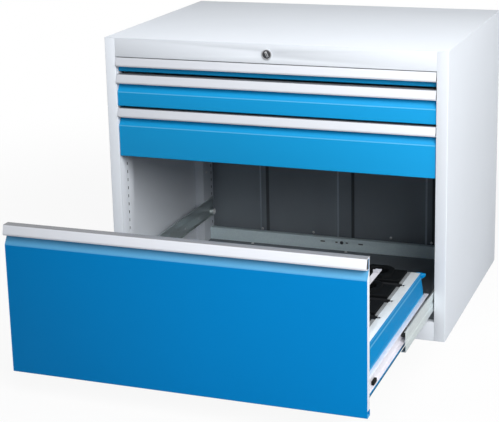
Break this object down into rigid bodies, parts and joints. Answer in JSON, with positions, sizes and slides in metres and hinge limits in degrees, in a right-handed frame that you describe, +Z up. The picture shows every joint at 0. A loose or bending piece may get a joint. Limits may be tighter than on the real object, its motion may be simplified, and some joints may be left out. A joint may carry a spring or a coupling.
{
  "type": "drawer cabinet",
  "caption": "Free-standing sheet-steel drawer cabinet with flat full-width handles, a central lock and telescopic slides; the tall lowest drawer carries sockets for machine tool holders.",
  "frame": {"origin": "centre of the cabinet's footprint on the floor, on its underside", "axes": "+X to the cabinet's right as seen from the front, +Y to the rear, +Z up"},
  "size_m": [1.005, 1.4199, 0.819],
  "materials": {
    "body_grey": "satin powder coat",
    "rear_rail_metal": "satin powder coat",
    "slide_steel": "bright zinc",
    "roller_plastic": "satin",
    "front_blue": "satin powder coat",
    "handle_aluminium": "satin anodised",
    "tray_grey": "satin powder coat",
    "frame_blue": "satin powder coat",
    "tool_rail_zinc": "bright zinc",
    "carrier_grey": "satin powder coat",
    "insert_black": "fine grain",
    "buffer_rubber": "matte",
    "lock_steel": "bright zinc",
    "lock_chrome": "polished"
  },
  "bodies": {
    "cabinet": {"side_panel_right": "body_grey", "side_panel_left": "body_grey", "top_panel": "body_grey", "lock_rail": "body_grey", "base_rail": "body_grey", "floor_pan": "body_grey", "rear_panel": "body_grey", "rear_rail": "rear_rail_metal", "upright_front_right": "body_grey", "upright_front_left": "body_grey", "upright_rear_right": "body_grey", "upright_rear_left": "body_grey", "cabinet_rails_1": "slide_steel", "cabinet_rails_2": "slide_steel", "cabinet_rails_3": "slide_steel", "cabinet_rails_4": "slide_steel", "lock_fittings": "lock_steel"},
    "drawer_1": {"front_1": "front_blue", "handle_1": "handle_aluminium", "tray_1": "tray_grey", "drawer_rails_1": "slide_steel", "lock_catch_1": "lock_steel"},
    "drawer_2": {"front_2": "front_blue", "handle_2": "handle_aluminium", "tray_2": "tray_grey", "drawer_rails_2": "slide_steel", "lock_catch_2": "lock_steel"},
    "drawer_3": {"front_3": "front_blue", "handle_3": "handle_aluminium", "tray_3": "tray_grey", "drawer_rails_3": "slide_steel", "lock_catch_3": "lock_steel"},
    "drawer_4": {"front_4": "front_blue", "handle_4": "handle_aluminium", "front_backing_4": "body_grey", "frame_side_right": "frame_blue", "frame_side_left": "frame_blue", "frame_rear_bar": "tray_grey", "tool_rails": "tool_rail_zinc", "tool_carriers": "carrier_grey", "tool_inserts_1": "insert_black", "tool_inserts_2": "insert_black", "tool_inserts_3": "insert_black", "tool_inserts_4": "insert_black", "drawer_rails_4": "slide_steel", "drawer_buffers_4": "buffer_rubber", "lock_catch_4": "lock_steel"},
    "slide_1": {"slide_rails_1": "slide_steel", "glides_1": "roller_plastic"},
    "slide_2": {"slide_rails_2": "slide_steel", "glides_2": "roller_plastic"},
    "slide_3": {"slide_rails_3": "slide_steel", "glides_3": "roller_plastic"},
    "slide_4": {"slide_rails_4": "slide_steel", "rollers_4": "roller_plastic"},
    "lock_barrel": {"lock_barrel": "lock_chrome", "lock_cam": "lock_steel"},
    "lock_rod": {"lock_rod": "lock_steel"},
    "lock_bar": {"lock_bar": "lock_steel", "lock_teeth": "lock_steel"}
  },
  "joints": [
    {"name": "drawer_1_slide", "type": "slide", "parent": "cabinet", "child": "drawer_1", "axis": [0, -1, 0], "range_m": [0, 0.68]},
    {"name": "slide_1_run", "type": "slide", "parent": "cabinet", "child": "slide_1", "axis": [0, -1, 0], "range_m": [0, 0.34]},
    {"name": "drawer_2_slide", "type": "slide", "parent": "cabinet", "child": "drawer_2", "axis": [0, -1, 0], "range_m": [0, 0.68]},
    {"name": "slide_2_run", "type": "slide", "parent": "cabinet", "child": "slide_2", "axis": [0, -1, 0], "range_m": [0, 0.34]},
    {"name": "drawer_3_slide", "type": "slide", "parent": "cabinet", "child": "drawer_3", "axis": [0, -1, 0], "range_m": [0, 0.68]},
    {"name": "slide_3_run", "type": "slide", "parent": "cabinet", "child": "slide_3", "axis": [0, -1, 0], "range_m": [0, 0.34]},
    {"name": "drawer_4_slide", "type": "slide", "parent": "cabinet", "child": "drawer_4", "axis": [0, -1, 0], "range_m": [-0.68, 0]},
    {"name": "slide_4_run", "type": "slide", "parent": "cabinet", "child": "slide_4", "axis": [0, -1, 0], "range_m": [-0.34, 0]},
    {"name": "lock_turn", "type": "hinge", "parent": "cabinet", "child": "lock_barrel", "pos_m": [-0.0065, -0.368, 0.79], "axis": [0, 1, 0], "range_deg": [0, 90]},
    {"name": "lock_rod_slide", "type": "slide", "parent": "cabinet", "child": "lock_rod", "axis": [-1, 0, 0], "range_m": [0, 0.0101]},
    {"name": "lock_bar_slide", "type": "slide", "parent": "cabinet", "child": "lock_bar", "axis": [0, 0, -1], "range_m": [0, 0.01]}
  ],
  "couplings": [
    {"joint": "slide_1_run", "follows": "drawer_1_slide", "ratio": 0.5},
    {"joint": "slide_2_run", "follows": "drawer_2_slide", "ratio": 0.5},
    {"joint": "slide_3_run", "follows": "drawer_3_slide", "ratio": 0.5},
    {"joint": "slide_4_run", "follows": "drawer_4_slide", "ratio": 0.5},
    {"joint": "lock_rod_slide", "follows": "lock_bar_slide", "ratio": 1},
    {"joint": "lock_turn", "follows": "lock_bar_slide", "rad_per_m": 157.07}
  ]
}
